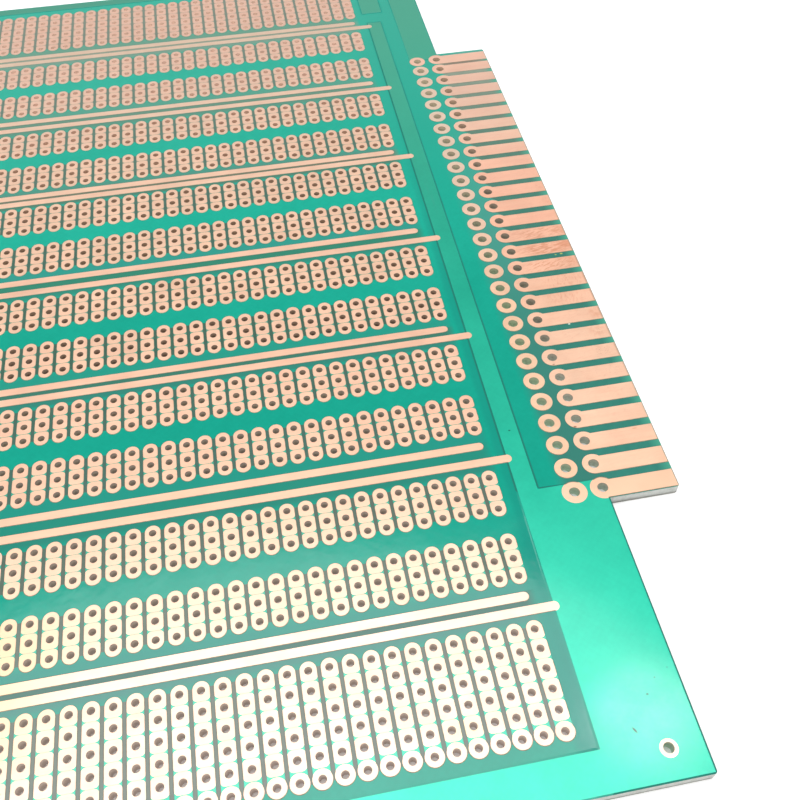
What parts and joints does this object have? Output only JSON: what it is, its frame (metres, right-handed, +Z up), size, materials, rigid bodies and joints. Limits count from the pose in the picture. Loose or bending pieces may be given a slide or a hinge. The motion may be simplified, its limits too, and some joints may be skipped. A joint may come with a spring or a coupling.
{
  "type": "bare circuit board",
  "caption": "Unpopulated single-sided prototyping board: green solder mask, copper pad strips on a hole grid, paired supply rails and a card-edge connector tab.",
  "frame": {"origin": "middle of the bounding box, on the plane of the board's bare underside", "axes": "+X across the board towards the card-edge tab, +Y along the board's length towards the block of long pad strips without round end pads, +Z up out of the copper side"},
  "size_m": [0.1192, 0.184, 0.0017],
  "materials": {
    "glass_epoxy": "matt cut glass-epoxy laminate",
    "solder_mask": "glossy green solder mask, lighter where copper lies under it",
    "copper": null
  },
  "bodies": {
    "root": {"laminate": "glass_epoxy", "solder_mask": "solder_mask", "rails_ground": "copper", "rails_supply": "copper", "strips_front": "copper", "strips_a1": "copper", "strips_a2": "copper", "strips_b1": "copper", "strips_b2": "copper", "strips_c1": "copper", "strips_c2": "copper", "strips_d1": "copper", "strips_d2": "copper", "strips_e1": "copper", "strips_e2": "copper", "strips_f1": "copper", "strips_f2": "copper", "strips_back": "copper", "edge_fingers": "copper", "ring_pads": "copper"}
  },
  "joints": []
}
